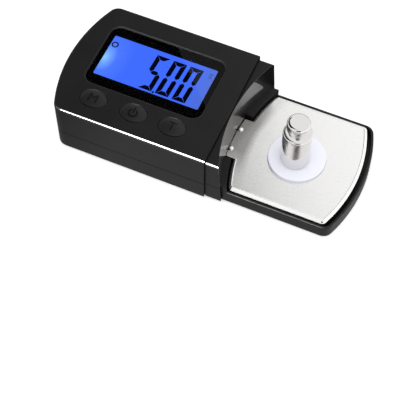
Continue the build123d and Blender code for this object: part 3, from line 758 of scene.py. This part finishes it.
faint = Finish("display_ink_faint", Roughness=0.5, Base_Color=(0.004, 0.008, 0.08),
               Emission_Color=(0.02, 0.05, 0.36), Emission_Strength=1.0)
print_on_glass(ring(STABLE_X, STABLE_Y, ink_z, STABLE_RADIUS, STABLE_LINE), "stable_mark", ink)
print_on_glass(disc(POINT_X, POINT_Y, ink_z, POINT_RADIUS, 16), "decimal_point", ink)
print_on_glass(letter("g", GRAM_X, GRAM_Y, ink_z, GRAM_HEIGHT), "gram_mark", faint)

# %% [markdown]
# The marks on the keys. A key's top is a shallow dome, so a flat mark would sink into it at its
# ends. Each mark is cut into small faces, dropped onto the dome by a Shrinkwrap modifier, and made
# a skin a few hundredths of a millimetre thick. It rides with its key, so it goes down when the key
# does.

# %% Model the M and the T
LETTER_HEIGHT, M_BOLD = 2.6 * mm, -0.004
MARK_SKIN, MARK_LIFT = 0.03 * mm, 0.002 * mm
DROP_HEIGHT = 1 * mm

mark_black = Finish("mark_black", Roughness=0.55, Specular_IOR_Level=0.1)
mark_black.mottle(0.6 * mm, grey(0.0025), grey(0.0045))


def above_key(key):
    """A place over the middle of a key, from which its mark is dropped."""
    low, high = (Vector(corner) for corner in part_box(key + "_button"))
    middle = (low + high) / 2
    return middle.x, middle.y, high.z + DROP_HEIGHT


def lay_on_key(piece, key):
    """Drop a flat mark onto a key's dome and give it a skin."""
    open_mesh(piece)
    bpy.ops.mesh.quads_convert_to_tris()
    for _ in range(2):
        bpy.ops.mesh.subdivide(number_cuts=1)
    close_mesh()
    modify(piece, "SHRINKWRAP", target=cad[key + "_button"], wrap_method="PROJECT",
           use_project_z=True, use_negative_direction=True, use_positive_direction=False,
           offset=MARK_LIFT)
    thicken(piece, MARK_SKIN)
    return settle(piece, key + "_mark", key + "_key", mark_black, angle=20)


lay_on_key(letter("M", *above_key("mode"), LETTER_HEIGHT, bold=M_BOLD), "mode")
lay_on_key(letter("T", *above_key("tare"), LETTER_HEIGHT), "tare")

# %% [markdown]
# The power sign is a ring that is open at the top, with an upright stroke in the gap. The faces of
# the ring that lie in the gap are deleted, and a thin plane is joined to it as the stroke.

# %% Model the power mark
POWER_RADIUS, POWER_LINE, POWER_DROP = 1.35 * mm, 0.42 * mm, 0.25 * mm
POWER_GAP = 0.6 * mm
STROKE_LENGTH, STROKE_RISE = 1.9 * mm, 1.1 * mm

x, y, z = above_key("power")
ring_y = y - POWER_DROP
sign = ring(x, ring_y, z, POWER_RADIUS, POWER_LINE)
open_mesh(sign)
pick_faces(sign, lambda p: p.y > ring_y and abs(p.x - x) < POWER_GAP)
bpy.ops.mesh.delete(type="FACE")
close_mesh()
clear()
bpy.ops.mesh.primitive_plane_add(size=1, location=(x, ring_y + STROKE_RISE, z))
stroke = bpy.context.object
stroke.scale = (POWER_LINE, STROKE_LENGTH, 1)
bake_place()
take(sign, stroke)
bpy.ops.object.join()
power_mark = lay_on_key(sign, "power")
print("power mark points:", len(power_mark.data.vertices))

# %% [markdown]
# The pan. It is pressed from thin stainless sheet with a satin polish: a mirror that is just
# blurred enough to lose small things, with very fine brushed lines along its length. Close to the
# wall its colour is painted a darker grey, a painted reflection of the black wall and its shade,
# and distance from the wall's axis gives that zone its round edge. The turned-down rim is glossier
# than the flat.

# %% Finish the pan
WALL_SHADE_WIDTH, WALL_SHADE_FULL = 7.6 * mm, 0.72
WALL_SHADE_WANDER = 1.2 * mm
PAN_DEPTH, RIM_DROP = 32 * mm, 0.03 * mm

steel = Finish("pan_steel", Metallic=1.0)
clouds = steel.noise(6 * mm, detail=4)
lines = steel.noise(0.16 * mm, detail=2, stretch=(0.03, 1, 1))
polished = steel.mix(clouds, (0.955, 0.95, 0.94), (0.985, 0.98, 0.975))
_, along, height = steel.axes()
# Painted shade: near the wall the steel's colour is painted darker, as a painted reflection of the
# black wall above it, fading out towards the pan's front and rear.
from_wall = WALL_RADIUS - steel.radius(WALL_AXIS_X, WALL_AXIS_Y)
painted_wall_shade = steel.fade(from_wall + clouds * WALL_SHADE_WANDER, WALL_SHADE_WIDTH, WALL_SHADE_FULL * WALL_SHADE_WIDTH)
wall_shade_along = steel.ramp((along + PAN_DEPTH / 2) / PAN_DEPTH, [
    (0.10, grey(0.1)), (0.36, grey(1.0)), (0.68, grey(1.0)), (0.92, grey(0.25))])
steel.set("Base Color", steel.mix(painted_wall_shade * wall_shade_along, polished, (0.47, 0.46, 0.445)))
_, pan_high = (Vector(corner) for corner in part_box("weighing_pan"))
on_rim = height < pan_high.z - RIM_DROP
steel.set("Roughness", 0.22 + clouds * 0.07 + lines * 0.03 - on_rim * 0.12)
steel.bump(lines, 0.0010 * mm, 0.28)
steel.dress("weighing_pan")

# %% [markdown]
# The pan's bead. Pressing leaves a low bead along the edge of the flat, and the photograph shows it
# as a white line round the pan and along its tongue. A copy of the pan's mesh gives the line: the
# flat top is selected, its outline kept and all else deleted, the outlines of the holes too. The
# line also ends by the tongue's screws and at the rear ledge, where the housing covers the edge.

# %% Trace the pan's edge
FLAT_MARGIN = 0.002 * mm
HOLE_REACH = 9 * mm
SCREWS_X, SCREWS_FRONT_Y, SCREWS_REAR_Y = SEAM_X + 2.4 * mm, -6 * mm, 5 * mm
REAR_LEDGE_X, REAR_LEDGE_Y = SEAM_X + 8 * mm, 4 * mm

pan = cad["weighing_pan"]
bead = pan.copy()
bead.data = pan.data.copy()
scene.collection.objects.link(bead)
recalculate(bead)
disc_low, disc_high = (Vector(corner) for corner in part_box("stylus_disc"))
disc_mid = (disc_low + disc_high) / 2
open_mesh(bead)
pick_faces(bead, lambda p: p.z > pan_high.z - FLAT_MARGIN)
bpy.ops.mesh.region_to_loop()
close_mesh()
for edge in bead.data.edges:
    first, second = (bead.data.vertices[i].co for i in edge.vertices)
    middle = (first + second) / 2
    in_hole = (middle - disc_mid).to_2d().length < HOLE_REACH
    by_screws = middle.x < SCREWS_X and SCREWS_FRONT_Y < middle.y < SCREWS_REAR_Y
    by_rear_ledge = middle.x < REAR_LEDGE_X and middle.y > REAR_LEDGE_Y
    edge.select = not edge.select or in_hole or by_screws or by_rear_ledge
bpy.ops.object.mode_set(mode="EDIT")
bpy.ops.mesh.select_mode(type="EDGE")
bpy.ops.mesh.delete(type="EDGE")
close_mesh()
print("edges along the pan's rim:", len(bead.data.edges), "faces left:", len(bead.data.polygons))

# %% [markdown]
# The line becomes a curve with a round section and then a mesh again. It is sunk into the steel
# until only its top stands proud, and it is polished brighter than the flat.

# %% Model the bead
BEAD_RADIUS, BEAD_PROUD = 0.30 * mm, 0.08 * mm

take(bead)
bpy.ops.object.convert(target="CURVE")
bead.data.bevel_depth = BEAD_RADIUS
bead.data.bevel_resolution = 5
bead.data.use_fill_caps = True
bpy.ops.object.convert(target="MESH")
bead.data.transform(Matrix.Translation((0, 0, BEAD_PROUD - BEAD_RADIUS)))
bright = Finish("bead_steel", Metallic=1.0)
bright.mottle(2 * mm, (0.96, 0.955, 0.95), (0.99, 0.99, 0.985))
bright.roughen(0.2, 0.08, 0.4 * mm)
settle(bead, "pan_bead", "pan", bright, angle=70)
print("bead points:", len(bead.data.vertices))

# %% [markdown]
# The calibration weight. It is turned from steel and chrome plated, and the tool's rings still show
# on its knob. The solid in the frame is right but plain, so a finer piece takes its place: a circle
# that is extruded up and scaled ring by ring, like work on a lathe, with small rounds at the edges
# and shallow rings round a centre mark on top.

# %% Write the lathe
def round_edge(radius, height, edge, start, steps=5):
    """Ring sizes and heights of a quarter round at an outer edge; start is 0 below, 90 above."""
    points = []
    for step in range(steps + 1):
        angle = math.radians(start + 90 * step / steps)
        points.append((radius - edge + edge * math.sin(angle), height - edge * math.cos(angle)))
    return points


def turned(rings, x, y, sides=128):
    """A filled circle, extruded up and scaled to each ring in turn."""
    radius, height = rings[0]
    piece = disc(x, y, height, radius, sides)
    open_mesh(piece)
    for next_radius, next_height in rings[1:]:
        bpy.ops.mesh.extrude_region_move(
            TRANSFORM_OT_translate={"value": (0, 0, next_height - height)})
        share = next_radius / radius
        bpy.ops.transform.resize(value=(share, share, 1), center_override=(x, y, next_height))
        radius, height = next_radius, next_height
    close_mesh()
    recalculate(piece)
    return piece

# %% [markdown]
# The weight's outline, from the foot up: a body with a small round at each end, a neck with
# fillets, and a knob whose top edge is rounder. Each ring is a radius and a height, and the last
# ones are the shallow rings on the knob's top, down to a small hollow where the lathe's centre sat.
# Those are given as a share of the flat top's radius and a number of depths that the ring is sunk.

# %% Turn the weight
BODY_RADIUS, BODY_HEIGHT = 3.9 * mm, 12.2 * mm
NECK_RADIUS, NECK_HEIGHT = 2.55 * mm, 1.7 * mm
KNOB_RADIUS, KNOB_HEIGHT = 3.1 * mm, 2.8 * mm
FOOT_INSET, NECK_FILLET = 1.0 * mm, 0.12 * mm
EDGE, TOP_EDGE, KNOB_EDGE = 0.3 * mm, 0.5 * mm, 0.7 * mm
RING_DEPTH = 0.004 * mm
TOP_RINGS = ((0.80, 0), (0.78, 1), (0.56, 1), (0.54, 0), (0.33, 0), (0.31, 1), (0.12, 1), (0.04, 3))

weight_low, weight_high = (Vector(corner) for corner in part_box("calibration_weight"))
weight_mid = (weight_low + weight_high) / 2
base = weight_low.z
shoulder = base + BODY_HEIGHT
knob_base = shoulder + NECK_HEIGHT
top = knob_base + KNOB_HEIGHT
rings = [(BODY_RADIUS - FOOT_INSET, base)]
rings += round_edge(BODY_RADIUS, base + EDGE, EDGE, 0)
rings += round_edge(BODY_RADIUS, shoulder - TOP_EDGE, TOP_EDGE, 90)
rings += [(NECK_RADIUS + NECK_FILLET, shoulder), (NECK_RADIUS, shoulder + NECK_FILLET),
          (NECK_RADIUS, knob_base - NECK_FILLET), (NECK_RADIUS + NECK_FILLET, knob_base)]
rings += round_edge(KNOB_RADIUS, knob_base + EDGE, EDGE, 0)
rings += round_edge(KNOB_RADIUS, top - KNOB_EDGE, KNOB_EDGE, 90)
rings += [((KNOB_RADIUS - KNOB_EDGE) * share, top - sink * RING_DEPTH) for share, sink in TOP_RINGS]
weight = turned(rings, weight_mid.x, weight_mid.y)
print("weight, height in mm:", round((top - base) / mm, 2), "points:", len(weight.data.vertices))

# %% [markdown]
# The plating is a clear mirror, with the turning tool's fine rings as a bump. The photograph shows
# no picture of the weight in the pan, so mirror rays pass it by.

# %% Plate the weight
TOOL_PITCH = 0.16 * mm

chrome = Finish("weight_chrome", Base_Color=(0.76, 0.745, 0.73), Metallic=1.0)
from_centre = chrome.radius(weight_mid.x, weight_mid.y)
_, _, up = chrome.axes()
tool_turn = 2 * math.pi / TOOL_PITCH
marks = (from_centre * tool_turn).sine() + (up * tool_turn).sine() * 0.4
chrome.roughen(0.045, 0.05, 1.2 * mm)
chrome.bump(marks + chrome.noise(0.3 * mm, detail=3), 0.0006 * mm, 0.6)
settle(weight, "turned_weight", "pan", chrome)
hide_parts("calibration_weight")
weight.visible_glossy = False

# %% [markdown]
# The disc and the two round screws. The disc that the stylus stands on is cool white plastic with a
# soft gloss. The screw heads are small domes with a satin plating.

# %% Finish the disc and its screws
white = Finish("disc_white", Roughness=0.32)
white.mottle(5 * mm, (0.88, 0.895, 0.985), (0.90, 0.91, 0.99))
white.bump(white.noise(0.4 * mm, detail=2), 0.002 * mm, 0.3)
white.dress("stylus_disc")
dome = Finish("screw_chrome", Metallic=1.0, Base_Color=(0.97, 0.97, 0.965))
dome.roughen(0.33, 0.08, 0.5 * mm)
dome.dress("pan_screw_1", "pan_screw_2")

# %% [markdown]
# The underside: soft rubber feet, and zinc-plated screws in their wells. The same screws hold the
# load cell and the pan's arm inside.

# %% Finish the feet and the screws
rubber = Finish("foot_rubber", Roughness=0.85)
rubber.mottle(1.5 * mm, grey(0.012), grey(0.022))
rubber.bump(rubber.noise(0.2 * mm, detail=3), 0.01 * mm, 0.5)
rubber.dress(*(f"foot_{number}" for number in (1, 2, 3, 4)))
zinc = Finish("screw_zinc", Metallic=1.0)
zinc.mottle(0.8 * mm, (0.50, 0.51, 0.54), (0.64, 0.65, 0.67))
zinc.roughen(0.25, 0.15, 0.4 * mm)
zinc.dress(*(f"case_screw_{number}" for number in (1, 2, 3, 4)), "arm_screw_1", "arm_screw_2",
           "load_cell_screw_1", "load_cell_screw_2")

# %% [markdown]
# The inside. It shows only where a cover comes off, but each piece still has its own finish: green
# board with copper paths, milled aluminium for the load cell, nickel-plated cells, brass contacts,
# a zebra strip of black and white rubber, and plain mouldings.

# %% Finish the board
PATH_PITCH, PATH_SHARE = 1.3 * mm, 0.72

board = Finish("board_green", Roughness=0.32)
_, along, _ = board.axes()
bend = board.noise(5 * mm, detail=0) * 2.5
paths = (along * (2 * math.pi / PATH_PITCH) + bend).sine() > PATH_SHARE
board.set("Base Color", board.mix(paths, (0.008, 0.075, 0.022), (0.02, 0.15, 0.045)))
board.bump(paths, 0.02 * mm, 0.5)
board.dress("circuit_board")

# %% [markdown]
# The load cell is a milled aluminium beam. Noise that is stretched along the cutter's path gives
# the fine lines that milling leaves. The arm that carries the pan is a plated steel pressing.

# %% Finish the load cell and the arm
alloy = Finish("beam_alloy", Metallic=1.0)
milling = alloy.noise(0.2 * mm, detail=2, stretch=(1, 0.05, 1))
alloy.set("Base Color", alloy.mix(milling, (0.70, 0.71, 0.72), (0.80, 0.81, 0.82)))
alloy.set("Roughness", 0.28 + milling * 0.12)
alloy.dress("load_cell")
plated = Finish("arm_plated", Metallic=1.0)
plated.mottle(3 * mm, (0.52, 0.52, 0.53), (0.62, 0.62, 0.63))
plated.roughen(0.3, 0.1, 0.4 * mm)
plated.dress("pan_arm")

# %% [markdown]
# The cells and their contacts. Button cells are drawn from nickel-plated steel, and the contacts
# are stamped from brass strip, so both are metals with a soft, slightly uneven gloss.

# %% Finish the cells and contacts
nickel = Finish("cell_nickel", Metallic=1.0)
nickel.mottle(4 * mm, (0.62, 0.61, 0.59), (0.72, 0.71, 0.69))
nickel.roughen(0.22, 0.12, 0.3 * mm, stretch=(0.1, 1, 1))
nickel.dress("battery_left", "battery_right")
brass = Finish("contact_brass", Metallic=1.0)
brass.mottle(1.5 * mm, (0.72, 0.55, 0.27), (0.83, 0.67, 0.37))
brass.roughen(0.26, 0.1, 0.3 * mm)
brass.dress("battery_link", "battery_plus_contact", "battery_minus_contact")

# %% [markdown]
# The contact strip and the plain mouldings. The strip is layers of black and white rubber, which a
# sine wave along its length cuts at zero. The others differ only in colour and gloss, so one
# function finishes them. The light guide also shines a little, because the lamp is on.

# %% Finish the mouldings inside
STRIPE_PITCH = 0.4 * mm

zebra = Finish("contact_rubber", Roughness=0.7)
across, _, _ = zebra.axes()
stripes = (across * (2 * math.pi / STRIPE_PITCH)).sine() > 0
zebra.set("Base Color", zebra.mix(stripes, grey(0.01), grey(0.55)))
zebra.dress("contact_strip")


def simple(name, low, high, roughness, *pieces):
    """Plain moulding: two near tones and a slight unevenness of the gloss."""
    made = Finish(name)
    tone = made.noise(1.5 * mm, detail=3)
    made.set("Base Color", made.mix(tone, low, high))
    made.set("Roughness", roughness + tone * 0.08)
    made.dress(*pieces)
    return made


guide = simple("guide_blue", (0.10, 0.22, 0.75), (0.14, 0.28, 0.85), 0.3, "light_guide")
guide.set("Emission Color", (0.06, 0.15, 0.9))
guide.set("Emission Strength", 0.6)
simple("led_white", (0.75, 0.75, 0.62), (0.85, 0.85, 0.72), 0.35, "backlight_led")
simple("chip_epoxy", grey(0.010), grey(0.018), 0.5, "controller_chip")
simple("switch_black", grey(0.014), grey(0.024), 0.45, "mode_switch", "power_switch", "tare_switch")
simple("plunger_white", (0.62, 0.62, 0.58), (0.72, 0.72, 0.68), 0.4,
       "mode_plunger", "power_plunger", "tare_plunger")
